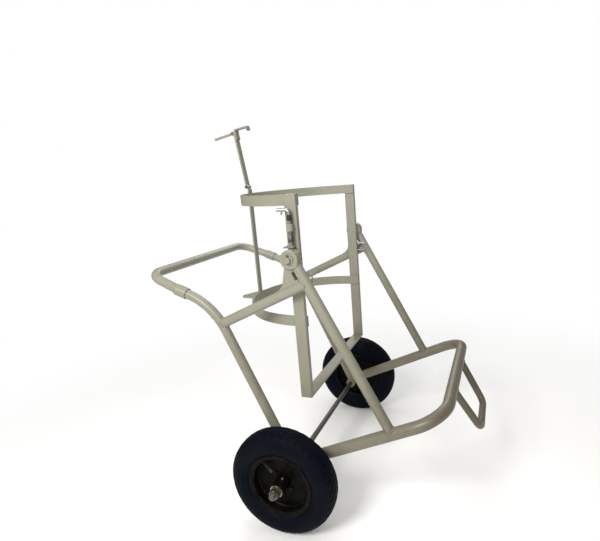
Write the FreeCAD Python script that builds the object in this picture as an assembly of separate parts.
import FreeCAD, Part
import math, os
from FreeCAD import Vector as V

# Drum dolly: a two-wheeled tubular hand truck whose cradle hangs on two
# trunnions, so that the drum it holds can be kept upright or tipped to pour.
#
# Frame: +X forward (away from the operator), +Y to the operator's left, +Z up.
# Origin: on the floor, midway between the wheels, in the middle of the length.
# It stands in the rolling stance: wheels on the floor, the tubular frame
# leaned back by LEAN about the axle, the cradle exactly upright.
# The tubular frame is drawn level (axle at 0,0) and then leaned back. The
# rest is drawn in place, with x = 0 at the axle. At the end all of it is slid
# along X to the origin. Lengths are in mm, angles in degrees.

SIDES = {"right": -1, "left": 1}      # name: sign of y

LEAN = 24.07
WHEEL_R = 187.5       # tyre outer radius
AXLE_Z = WHEEL_R
TRACK_HALF = 438.0    # wheel centre plane from the middle
FRAME_HALF = 347.0    # centre plane of the side tubes from the middle

# Tubular frame, level coordinates
LOWER_OD, LOWER_WALL = 41.0, 2.6
LOWER_Z = 8.0         # lower tube above the axle
LOWER_REAR_X = 13.0
FRONT_X = 578.5       # front cross tube
FRONT_BEND_R = 103.0

LEG_OD, LEG_WALL = 34.0, 2.6
LEG_CORNER_Z = 635.0  # where the upright and the handle side would meet
LEG_BEND_R = 240.0
SPLICE_FROM_CORNER = 136.0            # along the handle side
HANDLE_X, HANDLE_Z = -203.0, 838.0
HANDLE_HALF = 331.0
HANDLE_BEND_R = 62.0
LEG_DIR = V(HANDLE_X, 0, HANDLE_Z - LEG_CORNER_Z).normalize()
SPLICE = V(0, 0, LEG_CORNER_Z) + LEG_DIR * SPLICE_FROM_CORNER
SLEEVE_OD, SLEEVE_L = 41.0, 44.0
SLEEVE_BELOW = 0.62   # share of the sleeve below the splice

STRUT_OD = 34.0
STRUT_FOOT_X, STRUT_TOP_X = 393.3, 359.0
BRACE_Z, BRACE_FRONT_X = 563.0, 358.0
PLATE_T = 16.0
PLATE_OUTLINE = [     # x, z; the last corners form a notch open to the front
    (256, 570), (262, 580.5), (286, 591), (320, 638), (331, 660), (352, 640),
    (352, 616), (336, 616), (336, 588), (352, 588), (352, 570)]

STAND_OD, STAND_WALL = 26.0, 2.3
STAND_HALF = 134.5    # half width at the cross tube
STAND_FOOT_HALF = 100.0               # half width at the foot
STAND_FOOT_X = 597.0
STAND_BEND_R = 32.0

# Cradle pivot, level and then in the rolling stance
PIVOT_LEVEL_X, PIVOT_LEVEL_Z = 353.1, 655.2
HUB_R = 31.0
HUB_IN, HUB_OUT = 328.0, 366.0        # ends of a pivot hub from the middle
HUB_ROUND = 3.0
BUSH_R = 14.0
PIN_R = 10.0
PLAY = 0.05           # radial running clearance
NOTCH_ANGLES = (-24.07, 0.0, 65.93, 95.93)   # forward from straight up
NOTCH_R, NOTCH_FLOOR, NOTCH_END = 4.4, 24.0, 40.0
PLUNGER_Y = -333.0

# Axle and its fittings; lengths along Y are from the middle
AXLE_R = 10.0
AXLE_END = 534.0
BOSS_R = 20.0
BOSS_IN, BOSS_OUT = 312.0, 382.0

# Wheels; lengths along Y are from the wheel's centre plane
HUB_OUTER, HUB_INNER = 62.0, 43.2     # outboard and inboard ends of the hub
WHEEL_HUB_R = 26.0
FLANGE_R, FLANGE_T = 50.0, 5.0
RIM_T = 3.0
BEARING_R, BEARING_W = 21.0, 12.0
BOLT_COUNT, BOLT_CIRCLE_R = 4, 38.0
BOLT_R, BOLT_HOLE_R, BOLT_HEX = 4.0, 4.2, 13.0

# Cradle
BAR_W, BAR_T, BAR_WALL = 40.0, 20.0, 2.5
BAR_IN = 299.5        # inner face of a side bar
BAR_OUT = BAR_IN + BAR_T
BAR_ROUND = 2.5
BAR_TOP = 1131.0
CAP_T = 3.0
CROSS_LOW, CROSS_T = 438.0, 8.0
BAR_BOTTOM = CROSS_LOW + CAP_T
HOOP_T, HOOP_W = 6.0, 36.0
HOOP_OUT_R = BAR_IN
HOOP_LOW, HOOP_HIGH = 689.0, 1095.0   # undersides of the hoops
DRUM_AXIS_BACK = 15.0                 # drum axis behind the pivot

# Hook arm
HINGE_X, HINGE_Z = -268.6, 1156.0
ARM_LEAN = 8.2
STRAP_HALF = 12.5     # half width of the rear strap, arm and jaw
KNUCKLE_R = 7.0
KNUCKLE_HALF = 6.0    # half width of the middle knuckle
FORK_IN = 6.3         # inner face of the arm's fork
SMALL_PIN_R, SMALL_BORE_R = 3.0, 3.05
LEVER_PIN_X, LEVER_PIN_Z = -9.5, 211.5   # on the upright arm, from its hinge
LEVER_DROP = 10.5     # slope of the lever, tail down
LEVER_L = 83.0


# ----------------------------------------------------------------- helpers
def lean_back(shape, angle, x, z):
    """Lean a shape back about its own origin, then carry that origin to x, z."""
    leaned = shape.copy()
    leaned.rotate(V(0, 0, 0), V(0, 1, 0), -angle)
    leaned.translate(V(x, 0, z))
    return leaned


def lean_point(x, z, angle, to_x, to_z):
    """Where lean_back carries the point x, z."""
    a = math.radians(angle)
    return (x * math.cos(a) - z * math.sin(a) + to_x,
            x * math.sin(a) + z * math.cos(a) + to_z)


def cylinder(radius, start, end):
    axis = end - start
    return Part.makeCylinder(radius, axis.Length, start, axis)


def cyl_y(radius, x, z, y0, y1):
    return Part.makeCylinder(radius, abs(y1 - y0), V(x, min(y0, y1), z), V(0, 1, 0))


def bore(shape, radius, x, z):
    """Drill right through along Y."""
    return shape.cut(cyl_y(radius, x, z, -600, 600))


def ring_y(radius, bore_r, x, z, y0, y1):
    return bore(cyl_y(radius, x, z, y0, y1), bore_r, x, z)


def box(x0, x1, y0, y1, z0, z1):
    return Part.makeBox(x1 - x0, abs(y1 - y0), z1 - z0, V(x0, min(y0, y1), z0))


def prism_y(outline, y0, y1):
    """A flat polygon in X and Z, thickened along Y."""
    points = [V(x, min(y0, y1), z) for x, z in outline]
    face = Part.Face(Part.makePolygon(points + [points[0]]))
    return face.extrude(V(0, abs(y1 - y0), 0))


def hexagon(across_flats, x, z, y0, y1):
    r = across_flats / math.sqrt(3)
    angles = [math.radians(60 * k + 30) for k in range(6)]
    return prism_y([(x + r * math.cos(a), z + r * math.sin(a)) for a in angles], y0, y1)


def revolved(profile, y, side):
    """Revolve closed (radius, offset from y) points about the axle."""
    points = [V(0, y + side * offset, AXLE_Z + r) for r, offset in profile]
    face = Part.Face(Part.makePolygon(points + [points[0]]))
    return face.revolve(V(0, 0, AXLE_Z), V(0, 1, 0), 360)


def bent_path(points, bend_r):
    """Straight runs joined by arcs of one radius."""
    edges = []
    start = points[0]
    for before, corner, after in zip(points, points[1:], points[2:]):
        along_in = (corner - before).normalize()
        along_out = (after - corner).normalize()
        half_turn = along_in.getAngle(along_out) / 2
        setback = bend_r * math.tan(half_turn)
        arc_start = corner - along_in * setback
        arc_end = corner + along_out * setback
        inward = (along_out - along_in).normalize()
        arc_mid = corner + inward * (bend_r / math.cos(half_turn) - bend_r)
        if (arc_start - start).Length > 1e-6:
            edges.append(Part.LineSegment(start, arc_start).toShape())
        edges.append(Part.Arc(arc_start, arc_mid, arc_end).toShape())
        start = arc_end
    if (points[-1] - start).Length > 1e-6:
        edges.append(Part.LineSegment(start, points[-1]).toShape())
    return edges


def sweep(edges, radius):
    first = edges[0]
    start = first.valueAt(first.FirstParameter)
    tangent = first.tangentAt(first.FirstParameter)
    section = Part.Wire([Part.makeCircle(radius, start, tangent)])
    return Part.Wire(edges).makePipeShell([section], True, False)


def tube(edges, outer_d, wall):
    return sweep(edges, outer_d / 2).cut(sweep(edges, outer_d / 2 - wall))


def largest(shape):
    return max(shape.Solids, key=lambda solid: solid.Volume)


def edges_of_length(shape, length):
    return [e for e in shape.Edges if abs(e.Length - length) < 1e-3]


def pair(make):
    """The right and left copies of a piece, as one compound."""
    return Part.makeCompound([make(side) for side in SIDES.values()])


PIVOT_X, PIVOT_Z = lean_point(PIVOT_LEVEL_X, PIVOT_LEVEL_Z, LEAN, 0, AXLE_Z)
BAR_X0, BAR_X1 = PIVOT_X - BAR_W / 2, PIVOT_X + BAR_W / 2
DRUM_X = PIVOT_X - DRUM_AXIS_BACK


# ------------------------------------------------------- tubular frame (level)
def lower_path():
    return bent_path([V(LOWER_REAR_X, -FRAME_HALF, LOWER_Z), V(FRONT_X, -FRAME_HALF, LOWER_Z),
                      V(FRONT_X, FRAME_HALF, LOWER_Z), V(LOWER_REAR_X, FRAME_HALF, LOWER_Z)],
                     FRONT_BEND_R)


def leg_path(side):
    y = side * FRAME_HALF
    return bent_path([V(0, y, 0), V(0, y, LEG_CORNER_Z), V(SPLICE.x, y, SPLICE.z)],
                     LEG_BEND_R)


def handle_path():
    return bent_path([V(SPLICE.x, -FRAME_HALF, SPLICE.z), V(HANDLE_X, -HANDLE_HALF, HANDLE_Z),
                      V(HANDLE_X, HANDLE_HALF, HANDLE_Z), V(SPLICE.x, FRAME_HALF, SPLICE.z)],
                     HANDLE_BEND_R)


# Solid bars that the neighbouring pieces are fitted against
def lower_solid():
    return sweep(lower_path(), LOWER_OD / 2)


def leg_solid(side):
    return sweep(leg_path(side), LEG_OD / 2)


def boss_solid(side):
    return cyl_y(BOSS_R, 0, 0, side * BOSS_IN, side * BOSS_OUT)


def hub_solid(side):
    return cyl_y(HUB_R, PIVOT_LEVEL_X, PIVOT_LEVEL_Z, side * HUB_IN, side * HUB_OUT)


def strut_bar(side, radius):
    y = side * FRAME_HALF
    return cylinder(radius, V(STRUT_FOOT_X, y, LOWER_Z), V(STRUT_TOP_X, y, PIVOT_LEVEL_Z))


def brace_bar(side, radius):
    y = side * FRAME_HALF
    return cylinder(radius, V(0, y, BRACE_Z), V(BRACE_FRONT_X, y, BRACE_Z))


def lower_frame_tube():
    lower = tube(lower_path(), LOWER_OD, LOWER_WALL)
    for make in (boss_solid, leg_solid):
        for side in SIDES.values():
            lower = lower.cut(make(side))
    return largest(lower)


def rear_leg(side):
    return tube(leg_path(side), LEG_OD, LEG_WALL).cut(boss_solid(side))


def axle_boss(side):
    return bore(boss_solid(side), AXLE_R, 0, 0)


def front_strut(side):
    strut = strut_bar(side, STRUT_OD / 2).cut(strut_bar(side, STRUT_OD / 2 - LEG_WALL))
    return strut.cut(lower_solid()).cut(hub_solid(side))


def rear_brace(side):
    brace = brace_bar(side, LEG_OD / 2).cut(brace_bar(side, LEG_OD / 2 - LEG_WALL))
    return largest(brace.cut(leg_solid(side)).cut(strut_bar(side, STRUT_OD / 2)))


def pivot_bracket(side):
    """Upright plate between the brace and the pivot hub."""
    y = side * FRAME_HALF
    plate = prism_y(PLATE_OUTLINE, y - PLATE_T / 2, y + PLATE_T / 2)
    plate = plate.cut(hub_solid(side)).cut(strut_bar(side, STRUT_OD / 2))
    return largest(plate.cut(brace_bar(side, LEG_OD / 2)))


def handle_tube():
    """One bent tube, trimmed at the splices square to the legs."""
    trim = Part.makeBox(1400, 1400, 400, V(-700, -700, -400))
    trim.rotate(V(0, 0, 0), V(0, 1, 0), math.degrees(math.atan2(LEG_DIR.x, LEG_DIR.z)))
    trim.translate(SPLICE)
    return largest(tube(handle_path(), LEG_OD, LEG_WALL).cut(trim))


def splice_sleeve(side):
    middle = V(SPLICE.x, side * FRAME_HALF, SPLICE.z)
    sleeve = cylinder(SLEEVE_OD / 2, middle - LEG_DIR * SLEEVE_L * SLEEVE_BELOW,
                      middle + LEG_DIR * SLEEVE_L * (1 - SLEEVE_BELOW))
    return largest(sleeve.cut(leg_solid(side)).cut(sweep(handle_path(), LEG_OD / 2)))


def stand_loop():
    """Bent loop below the front cross tube, narrowing downwards."""
    foot_z = -WHEEL_R + STAND_OD / 2
    edges = bent_path([V(FRONT_X, -STAND_HALF, LOWER_Z),
                       V(STAND_FOOT_X, -STAND_FOOT_HALF, foot_z),
                       V(STAND_FOOT_X, STAND_FOOT_HALF, foot_z),
                       V(FRONT_X, STAND_HALF, LOWER_Z)], STAND_BEND_R)
    return largest(tube(edges, STAND_OD, STAND_WALL).cut(lower_solid()))


# -------------------------------------------------------------- pivot hubs
def pivot_hub(side):
    hub = ring_y(HUB_R, BUSH_R, PIVOT_X, PIVOT_Z, side * HUB_IN, side * HUB_OUT)
    outer_rim = [e for e in edges_of_length(hub, 2 * math.pi * HUB_R)
                 if abs(e.CenterOfMass.y - side * HUB_OUT) < 1e-3]
    hub = hub.makeFillet(HUB_ROUND, outer_rim)
    if side == SIDES["right"]:
        centre = V(PIVOT_X, PLUNGER_Y, PIVOT_Z)
        for angle in NOTCH_ANGLES:
            a = math.radians(angle)
            out = V(math.sin(a), 0, math.cos(a))
            hub = hub.cut(cylinder(NOTCH_R, centre + out * NOTCH_FLOOR,
                                   centre + out * NOTCH_END))
    return hub


def pivot_bush(side):
    return ring_y(BUSH_R, PIN_R + PLAY, PIVOT_X, PIVOT_Z, side * HUB_IN, side * HUB_OUT)


# ------------------------------------------------------------ axle fittings
AXLE_SPACER_R = 15.0
AXLE_SPACER_END = TRACK_HALF - HUB_INNER - 0.5
WASHER_IN = TRACK_HALF + HUB_OUTER + 0.8
WASHER_R, WASHER_T = 19.0, 3.0
NUT_IN, NUT_T, NUT_HEX = WASHER_IN + WASHER_T, 18.0, 30.0
# radius, distance from the nut's inner face; takes off the outer corners
NUT_TURNING = [(0, 0), (17.6, 0), (17.6, 15.6), (15.2, NUT_T), (0, NUT_T)]


def axle_spacer(side):
    return ring_y(AXLE_SPACER_R, AXLE_R, 0, AXLE_Z, side * BOSS_OUT, side * AXLE_SPACER_END)


def axle_washer(side):
    return ring_y(WASHER_R, AXLE_R, 0, AXLE_Z, side * WASHER_IN, side * NUT_IN)


def axle_nut(side):
    nut = hexagon(NUT_HEX, 0, AXLE_Z, side * NUT_IN, side * (NUT_IN + NUT_T))
    return bore(nut.common(revolved(NUT_TURNING, side * NUT_IN, side)), AXLE_R, 0, AXLE_Z)


# ------------------------------------------------------------------- wheels
# Half sections as (radius, offset from the centre plane), bead to crown
TYRE_OUTSIDE = [
    (109, 33.9), (114, 36.2), (119, 40.2), (132, 46.3), (146, 48),
    (158, 46.3), (172.5, 39.5), (182.5, 28), (186.6, 14), (WHEEL_R, 0)]
TYRE_INSIDE = [
    (106.5, 23), (118, 31.5), (132, 38), (147, 40), (161, 37.5),
    (172, 29), (177.5, 16), (178.5, 0)]
BEAD_FOOT = [(101.6, 30.8), (101.6, 19.5)]
TUBE_OUTSIDE = [
    (104, 18), (109, 21.5), (119, 29), (132, 35), (147, 37),
    (159, 34.5), (169, 27), (174.5, 14), (175.5, 0)]
TUBE_INSIDE = [
    (107, 17), (119, 25.5), (132, 32), (147, 34),
    (157, 31.5), (166.5, 24.5), (171.5, 12.5), (172.5, 0)]
# One pressed rim half: radius, offset away from the centre plane
RIM_HALF = [
    (WHEEL_HUB_R, 0.0), (101.4, 0.0), (101.4, 31.2), (111.5, 35.2), (112.5, 38.0),
    (109.0, 38.6), (99.0, 34.4), (98.4, 31.2), (98.4, 6.0), (95.4, RIM_T),
    (62.0, RIM_T), (60.0, RIM_T), (WHEEL_HUB_R, RIM_T)]
# Groove in a bearing's face: radius, depth
BEARING_GROOVE = [(13.5, 0), (17.5, 0), (17.5, 0.8), (13.5, 0.8)]
BEARING_BORE_R = AXLE_R + 0.03
BEARING_SPACER_R, BEARING_SPACER_BORE_R = 13.5, AXLE_R + 0.08
WHEEL_BORE_R = 16.0
VALVE_Y = 14.0        # outboard of the centre plane
VALVE_ANGLE = math.radians(135)       # up and to the rear
VALVE_R, VALVE_ROOT_R, VALVE_HOLE_R = 4.4, 5.2, 4.6
BOLT_ANGLES = [math.radians(45 + 360 / BOLT_COUNT * k) for k in range(BOLT_COUNT)]
BOLT_SPOTS = [(BOLT_CIRCLE_R * math.cos(a), AXLE_Z + BOLT_CIRCLE_R * math.sin(a))
              for a in BOLT_ANGLES]


def both_sides(half):
    """A whole section from its half, running from -Y to +Y over the crown."""
    return [(r, -offset) for r, offset in half] + half[-2::-1]


def drill_bolt_holes(shape):
    for x, z in BOLT_SPOTS:
        shape = bore(shape, BOLT_HOLE_R, x, z)
    return shape


def valve_bar(side, radius, r0, r1):
    """Round bar along the valve's line, between two distances from the axle."""
    start = V(0, side * (TRACK_HALF + VALVE_Y), AXLE_Z)
    out = V(math.cos(VALVE_ANGLE), 0, math.sin(VALVE_ANGLE))
    return cylinder(radius, start + out * r0, start + out * r1)


def tyre(side):
    def place(section):
        return [V(0, side * TRACK_HALF + offset, AXLE_Z + r) for r, offset in section]

    def spline(section):
        curve = Part.BSplineCurve()
        curve.interpolate(place(section))
        return curve.toShape()

    def lines(section):
        points = place(section)
        return [Part.LineSegment(a, b).toShape() for a, b in zip(points, points[1:])]

    bead = [TYRE_OUTSIDE[0]] + BEAD_FOOT + [TYRE_INSIDE[0]]
    far_bead = [(r, -offset) for r, offset in reversed(bead)]
    edges = [spline(both_sides(TYRE_OUTSIDE))] + lines(bead)
    edges += [spline(both_sides(TYRE_INSIDE)[::-1])] + lines(far_bead)
    return Part.Face(Part.Wire(edges)).revolve(V(0, 0, AXLE_Z), V(0, 1, 0), 360)


def inner_tube(side):
    """Hollow ring with the valve stem moulded on."""
    y = side * TRACK_HALF
    body = revolved(both_sides(TUBE_OUTSIDE), y, 1)
    body = body.cut(revolved(both_sides(TUBE_INSIDE), y, 1))
    stem = valve_bar(side, VALVE_R, 68, 105.2)
    return body.fuse(stem.fuse(valve_bar(side, VALVE_ROOT_R, 62, 72)))


def rim_outer(side):
    rim = drill_bolt_holes(revolved(RIM_HALF, side * TRACK_HALF, side))
    return rim.cut(valve_bar(side, VALVE_HOLE_R, 90, 104))


def rim_inner(side):
    return drill_bolt_holes(revolved(RIM_HALF, side * TRACK_HALF, -side))


def bearing_seats(side):
    """Y of the outer and inner end of each bearing, outboard one first."""
    y = side * TRACK_HALF
    return ((y + side * HUB_OUTER, y + side * (HUB_OUTER - BEARING_W)),
            (y - side * HUB_INNER, y - side * (HUB_INNER - BEARING_W)))


def wheel_hub(side):
    """Tube with a bolting flange, bored for the two bearings."""
    y = side * TRACK_HALF
    hub = cyl_y(WHEEL_HUB_R, 0, AXLE_Z, y + side * HUB_OUTER, y - side * HUB_INNER)
    hub = hub.fuse(cyl_y(FLANGE_R, 0, AXLE_Z, y - side * RIM_T,
                         y - side * (RIM_T + FLANGE_T)))
    hub = bore(hub, WHEEL_BORE_R, 0, AXLE_Z)
    for y0, y1 in bearing_seats(side):
        hub = hub.cut(cyl_y(BEARING_R, 0, AXLE_Z, y0, y1))
    return drill_bolt_holes(hub)


def wheel_bearings(side):
    bearings = []
    for y0, y1 in bearing_seats(side):
        bearing = ring_y(BEARING_R, BEARING_BORE_R, 0, AXLE_Z, y0, y1)
        for face_y, inward in ((min(y0, y1), 1), (max(y0, y1), -1)):
            bearing = bearing.cut(revolved(BEARING_GROOVE, face_y, inward))
        bearings.append(bearing)
    return Part.makeCompound(bearings)


def bearing_spacer(side):
    (_, y0), (_, y1) = bearing_seats(side)
    return ring_y(BEARING_SPACER_R, BEARING_SPACER_BORE_R, 0, AXLE_Z, y0, y1)


def rim_bolts(side):
    """Bolts with their heads outboard and nuts inboard of the flange."""
    y = side * TRACK_HALF
    nut_face = RIM_T + FLANGE_T
    bolts = []
    for x, z in BOLT_SPOTS:
        bolt = cyl_y(BOLT_R, x, z, y + side * 8, y - side * 17)
        bolt = bolt.fuse(hexagon(BOLT_HEX, x, z, y + side * RIM_T, y + side * (RIM_T + 5.5)))
        bolt = bolt.fuse(hexagon(BOLT_HEX, x, z, y - side * nut_face,
                                 y - side * (nut_face + 6.5)))
        bolts.append(bolt)
    return Part.makeCompound(bolts)


# ------------------------------------------------------------------ cradle
PLUG_L = 12.0         # depth of a top cap's plug inside the bar


def bar_block(side, z0, z1, inset=0):
    """Block with a side bar's section, or with that of its hollow."""
    return box(BAR_X0 + inset, BAR_X1 - inset, side * (BAR_IN + inset),
               side * (BAR_OUT - inset), z0, z1)


def rounded_bar_block(side, z0, z1):
    block = bar_block(side, z0, z1)
    return block.makeFillet(BAR_ROUND, edges_of_length(block, z1 - z0))


def side_bar(side):
    bar = rounded_bar_block(side, BAR_BOTTOM, BAR_TOP - CAP_T)
    bar = bar.cut(bar_block(side, BAR_BOTTOM - 1, BAR_TOP, BAR_WALL))
    return bore(bar, PIN_R, PIVOT_X, PIVOT_Z)


def bar_end_caps():
    caps = []
    for side in SIDES.values():
        cap = rounded_bar_block(side, BAR_TOP - CAP_T, BAR_TOP)
        plug = bar_block(side, BAR_TOP - CAP_T - PLUG_L, BAR_TOP - CAP_T, BAR_WALL)
        caps.append(cap.fuse(plug))
        caps.append(rounded_bar_block(side, CROSS_LOW, BAR_BOTTOM))
    return Part.makeCompound(caps)


def bottom_crossbar():
    """The drum stands on this bar; its ends are bevelled for welding."""
    cross = box(BAR_X0, BAR_X1, -BAR_IN, BAR_IN, CROSS_LOW, CROSS_LOW + CROSS_T)
    return cross.makeChamfer(1.5, edges_of_length(cross, BAR_W))


def hoop(z):
    """Half ring behind the drum axis, with straight ends to the bar fronts."""
    inner_r = HOOP_OUT_R - HOOP_T
    band = Part.makeCylinder(HOOP_OUT_R, HOOP_W, V(DRUM_X, 0, z))
    band = band.cut(Part.makeCylinder(inner_r, HOOP_W, V(DRUM_X, 0, z)))
    band = band.cut(box(DRUM_X, DRUM_X + 400, -400, 400, z - 1, z + HOOP_W + 1))
    for side in SIDES.values():
        band = band.fuse(box(DRUM_X, BAR_X1, side * inner_r, side * HOOP_OUT_R,
                             z, z + HOOP_W))
    return band.removeSplitter()


# Rear strap on the backs of both hoops
STRAP_FRONT_X = DRUM_X - HOOP_OUT_R
STRAP_BACK_X = STRAP_FRONT_X - 6.0


def rear_strap():
    """Strap with the middle knuckle of the hook-arm hinge at its top."""
    strap = box(STRAP_BACK_X, STRAP_FRONT_X, -STRAP_HALF, STRAP_HALF, HOOP_LOW, 1146)
    strap = strap.fuse(box(STRAP_BACK_X - 1, STRAP_FRONT_X, -KNUCKLE_HALF, KNUCKLE_HALF,
                           1140, HINGE_Z))
    strap = strap.cut(Part.makeCylinder(HOOP_OUT_R, 800, V(DRUM_X, 0, 600)))
    strap = strap.fuse(cyl_y(KNUCKLE_R, HINGE_X, HINGE_Z, -KNUCKLE_HALF, KNUCKLE_HALF))
    return bore(strap, SMALL_BORE_R, HINGE_X, HINGE_Z)


# Pointed grab loop behind the lower hoop, rising forward to it
LOOP_TIP_X, LOOP_TIP_Z, LOOP_ROOT_Z = -355.0, 700.0, 718.5
LOOP_ROOT_HALF = 64.0
LOOP_BEND_R, LOOP_ROD_R = 13.0, 5.5
LUG_OUTLINE = [       # x, z
    (STRAP_BACK_X, HOOP_LOW + 3), (STRAP_BACK_X, LOOP_ROOT_Z),
    (STRAP_BACK_X - 16, LOOP_ROOT_Z - 4), (LOOP_TIP_X + 12, LOOP_TIP_Z + 2),
    (LOOP_TIP_X + 12, LOOP_TIP_Z - 4), (STRAP_BACK_X - 14, HOOP_LOW + 3)]


def grab_loop():
    root_x = STRAP_BACK_X + 18
    edges = bent_path([V(root_x, -LOOP_ROOT_HALF, LOOP_ROOT_Z), V(LOOP_TIP_X, 0, LOOP_TIP_Z),
                       V(root_x, LOOP_ROOT_HALF, LOOP_ROOT_Z)], LOOP_BEND_R)
    hoop_body = Part.makeCylinder(HOOP_OUT_R, 120, V(DRUM_X, 0, HOOP_LOW - 40))
    return largest(sweep(edges, LOOP_ROD_R).cut(hoop_body).cut(rear_strap()))


def grab_lug():
    return largest(prism_y(LUG_OUTLINE, -3, 3).cut(grab_loop()))


def strap_staple(side):
    """Wire staple for a drum strap on the front of a side bar."""
    y = side * (BAR_IN + BAR_T / 2)
    out_x, top_z, low_z = BAR_X1 + 33, 874, 842
    return sweep(bent_path([V(BAR_X1, y, top_z), V(out_x, y, top_z),
                            V(out_x, y, low_z), V(BAR_X1, y, low_z)], 7.0), 2.1)


# ------------------------------------- hook arm (upright, hinge at its origin)
ARM_T_HALF = 3.0
ARM_TOP = 217.5
LEVER_EAR = [         # x, z
    (-3, 198), (-13.5, 204.5), (-16.5, LEVER_PIN_Z), (-13.5, ARM_TOP), (-3, ARM_TOP)]
JAW_OUTLINE = [       # x, z
    (3, 184), (8, 184), (8, 219), (55, 219), (55, 207), (60, 207), (60, 224), (3, 224)]
EAR_OUT = 9.8         # outer face of a lever ear
PIN_HEAD_OUT = 12.0


def hook_arm():
    arm = box(-ARM_T_HALF, ARM_T_HALF, -STRAP_HALF, STRAP_HALF, 12, ARM_TOP)
    for side in SIDES.values():
        y0, y1 = side * FORK_IN, side * STRAP_HALF
        arm = arm.fuse(box(-ARM_T_HALF, ARM_T_HALF, y0, y1, 0, 14))
        arm = arm.fuse(cyl_y(KNUCKLE_R, 0, 0, y0, y1))
        arm = arm.fuse(prism_y(LEVER_EAR, y0, side * EAR_OUT))
    arm = bore(arm, SMALL_BORE_R, 0, 0)
    return bore(arm, SMALL_PIN_R, LEVER_PIN_X, LEVER_PIN_Z)


def rim_jaw():
    return prism_y(JAW_OUTLINE, -STRAP_HALF, STRAP_HALF)


def lever_pin():
    pin = cyl_y(SMALL_PIN_R, LEVER_PIN_X, LEVER_PIN_Z, -PIN_HEAD_OUT, PIN_HEAD_OUT)
    for side in SIDES.values():
        pin = pin.fuse(cyl_y(5.0, LEVER_PIN_X, LEVER_PIN_Z, side * EAR_OUT,
                             side * PIN_HEAD_OUT))
    return pin


def hook_hinge_bolt():
    """Hinge bolt and its nut, drawn in place."""
    bolt = cyl_y(SMALL_PIN_R, HINGE_X, HINGE_Z, -14.6, 18.6)
    bolt = bolt.fuse(hexagon(10, HINGE_X, HINGE_Z, -17.8, -13.2))
    nut = bore(hexagon(10, HINGE_X, HINGE_Z, 13.2, 18.0), SMALL_PIN_R, HINGE_X, HINGE_Z)
    return Part.makeCompound([bolt, nut])


def rim_lever():
    """Over-centre lever, drawn level and set on its pin with the tail down."""
    lever = box(-LEVER_L, 0, -6, 6, -3.5, 3.5)
    lever = bore(lever.fuse(cyl_y(6.0, 0, 0, -6, 6)), SMALL_BORE_R, 0, 0)
    lever = lever.fuse(cyl_y(4.4, -LEVER_L, 0, -6, 6))
    pin_x, pin_z = lean_point(LEVER_PIN_X, LEVER_PIN_Z, ARM_LEAN, HINGE_X, HINGE_Z)
    return lean_back(lever, LEVER_DROP, pin_x, pin_z)


# --------------------------------------------------------------- trunnions
PIN_END = 379.0
COTTER_Y, COTTER_R = 373.2, 1.6
WASHER_GAP = 0.6      # between a washer and the pivot hub


def trunnion_pin(side):
    pin = cyl_y(PIN_R, PIVOT_X, PIVOT_Z, side * BAR_IN, side * PIN_END)
    pin = pin.makeChamfer(1.5, [e for e in pin.Edges
                                if abs(e.CenterOfMass.y - side * PIN_END) < 1e-3])
    return pin.cut(Part.makeCylinder(COTTER_R, 60, V(PIVOT_X, side * COTTER_Y, PIVOT_Z - 30)))


def thrust_washer(side):
    return ring_y(18, PIN_R, PIVOT_X, PIVOT_Z, side * BAR_OUT, side * (HUB_IN - WASHER_GAP))


def retaining_washer(side):
    inner = HUB_OUT + WASHER_GAP
    return ring_y(16.5, PIN_R, PIVOT_X, PIVOT_Z, side * inner, side * (inner + 3))


def cotter_pin(side):
    y = side * COTTER_Y
    shank = Part.makeCylinder(COTTER_R, 24.4, V(PIVOT_X, y, PIVOT_Z - 13))
    eye = Part.makeTorus(2.8, 1.2, V(PIVOT_X, y, PIVOT_Z + 14.4), V(0, 1, 0))
    return largest(shank.fuse(eye))


# ------------------------------------- index latch on the right side bar
HUB_TOP = PIVOT_Z + HUB_R
ROD_TIP_Z = HUB_TOP + 2.0
ROD_TIP_R, ROD_R = 4.0, 5.0
TAB_Z, TAB_T = HUB_TOP + 2.6, 9.0
TAB_TAIL_T = 3.0
TAB_OUT = 10.0        # reach beyond the plunger's axis
LATCH_TRAVEL = 8.5
COLLAR_Z, COLLAR_L = TAB_Z + TAB_T + LATCH_TRAVEL + 0.8, 9.0
GUIDE_Z, GUIDE_L = 1017.0, 23.0
ROD_HANDLE_Z = 1084.5
SPRING_R, SPRING_WIRE_R, SPRING_TURNS = 7.5, 0.9, 6.0
SPRING_GAP = 1.0      # clear of the collar and of the guide


def latch_cyl(radius, z, height):
    return Part.makeCylinder(radius, height, V(PIVOT_X, PLUNGER_Y, z))


def latch_guide_upper():
    guide = latch_cyl(11.0, GUIDE_Z, GUIDE_L)
    guide = guide.fuse(box(PIVOT_X - 8, PIVOT_X + 8, PLUNGER_Y, -BAR_OUT,
                           GUIDE_Z, GUIDE_Z + GUIDE_L))
    return guide.cut(latch_cyl(ROD_R + PLAY, 1000, 60))


def latch_guide_lower():
    """Wedge-shaped tab, thick round the plunger and thin at its rear tail."""
    front, thick_end, tail = PIVOT_X + 9, PIVOT_X - 9, PIVOT_X - 27
    top = TAB_Z + TAB_T
    tab = prism_y([(tail, TAB_Z), (front, TAB_Z), (front, top), (thick_end, top),
                   (tail, TAB_Z + TAB_TAIL_T)], PLUNGER_Y - TAB_OUT, -BAR_OUT)
    # the two upright corners on the face away from the bar
    corners = [e for e in tab.Edges if e.Length < TAB_T + 0.1
               and abs(e.CenterOfMass.y - PLUNGER_Y + TAB_OUT) < 1e-3
               and abs(e.CenterOfMass.x - PIVOT_X) > 8]
    tab = tab.makeFillet(2.5, corners)
    return tab.cut(latch_cyl(ROD_TIP_R + PLAY, TAB_Z - 20, 60))


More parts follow.
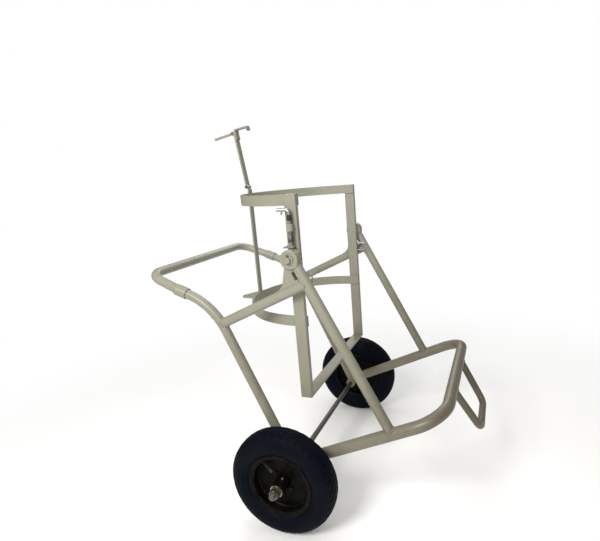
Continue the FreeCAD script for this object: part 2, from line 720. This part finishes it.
def plunger():
    """Stepped rod bent to the rear as a handle, with a short stop pin under it."""
    rod = latch_cyl(ROD_TIP_R, ROD_TIP_Z, 22)
    rod = rod.makeChamfer(1.0, [e for e in rod.Edges
                                if abs(e.CenterOfMass.z - ROD_TIP_Z) < 1e-3])
    body_z = ROD_TIP_Z + 20
    rod = rod.fuse(latch_cyl(ROD_R, body_z, ROD_HANDLE_Z - 12 - body_z))

    def at(back, down):
        return V(PIVOT_X - back, PLUNGER_Y, ROD_HANDLE_Z - down)
    rod = rod.fuse(sweep(bent_path([at(0, 16), at(0, 0), at(39.5, 0)], 9.5), 6.0))
    return rod.fuse(cylinder(2.6, at(20, 0), at(27, 15)))


def plunger_collar():
    collar = latch_cyl(8.6, COLLAR_Z, COLLAR_L).cut(latch_cyl(ROD_R, 940, 60))
    return collar.cut(plunger())


def plunger_sleeve():
    sleeve = latch_cyl(7.6, 1049.5, 18.5)
    # the two end circles
    sleeve = sleeve.makeFillet(1.2, sleeve.Edges[0:1] + sleeve.Edges[2:3])
    return sleeve.cut(latch_cyl(ROD_R, 1030, 60))


def latch_spring():
    bottom = COLLAR_Z + COLLAR_L + SPRING_GAP
    height = GUIDE_Z - SPRING_GAP - bottom
    helix = Part.makeHelix(height / SPRING_TURNS, height, SPRING_R)
    wire = Part.Wire([Part.makeCircle(SPRING_WIRE_R, V(SPRING_R, 0, 0), V(0, 1, 0))])
    coil = Part.Wire(helix.Edges).makePipeShell([wire], True, True)
    coil.translate(V(PIVOT_X, PLUNGER_Y, bottom))
    return coil


# ---------------------------------------------------------------- assembly
level_pieces = {
    "lower_frame_tube": lower_frame_tube(),
    "handle_tube": handle_tube(),
    "stand_loop": stand_loop(),
    "axle_bosses": pair(axle_boss),
    "pivot_brackets": pair(pivot_bracket),
    "splice_sleeves": pair(splice_sleeve),
}
arm_pieces = {"hook_arm": hook_arm(), "rim_jaw": rim_jaw(), "lever_pin": lever_pin()}
pieces = {
    "pivot_bushes": pair(pivot_bush),
    "axle": cyl_y(AXLE_R, 0, AXLE_Z, -AXLE_END, AXLE_END),
    "axle_spacers": pair(axle_spacer),
    "axle_washers": pair(axle_washer),
    "axle_nuts": pair(axle_nut),
    "bar_end_caps": bar_end_caps(),
    "bottom_crossbar": bottom_crossbar(),
    "upper_hoop": hoop(HOOP_HIGH),
    "lower_hoop": hoop(HOOP_LOW),
    "rear_strap": rear_strap(),
    "grab_loop": grab_loop(),
    "grab_lug": grab_lug(),
    "strap_staples": pair(strap_staple),
    "hook_hinge_bolt": hook_hinge_bolt(),
    "rim_lever": rim_lever(),
    "trunnion_pins": pair(trunnion_pin),
    "thrust_washers": pair(thrust_washer),
    "retaining_washers": pair(retaining_washer),
    "cotter_pins": pair(cotter_pin),
    "latch_guide_upper": latch_guide_upper(),
    "latch_guide_lower": latch_guide_lower(),
    "plunger_rod": plunger().removeSplitter(),
    "plunger_collar": plunger_collar(),
    "plunger_sleeve": plunger_sleeve(),
    "latch_spring": latch_spring(),
}
for side_name, side in SIDES.items():
    for make in (rear_leg, front_strut, rear_brace):
        level_pieces[make.__name__ + "_" + side_name] = make(side)
    for make in (pivot_hub, tyre, inner_tube, rim_outer, rim_inner, wheel_hub,
                 wheel_bearings, bearing_spacer, rim_bolts, side_bar):
        pieces[make.__name__ + "_" + side_name] = make(side)
for name, shape in level_pieces.items():
    pieces[name] = lean_back(shape, LEAN, 0, AXLE_Z)
for name, shape in arm_pieces.items():
    pieces[name] = lean_back(shape, ARM_LEAN, HINGE_X, HINGE_Z)

# Slide everything so that the middle of the length is at x = 0
rear_x = min(pieces[name].optimalBoundingBox().XMin
             for name in ("handle_tube", "splice_sleeves"))
front_x = pieces["stand_loop"].optimalBoundingBox().XMax

os.makedirs("parts", exist_ok=True)
for name, shape in pieces.items():
    shape = shape.copy()
    shape.translate(V(-(rear_x + front_x) / 2, 0, 0))
    if shape.ShapeType == "Compound" and len(shape.Solids) == 1:
        shape = shape.Solids[0]
    shape.exportStep(os.path.join("parts", name + ".step"))
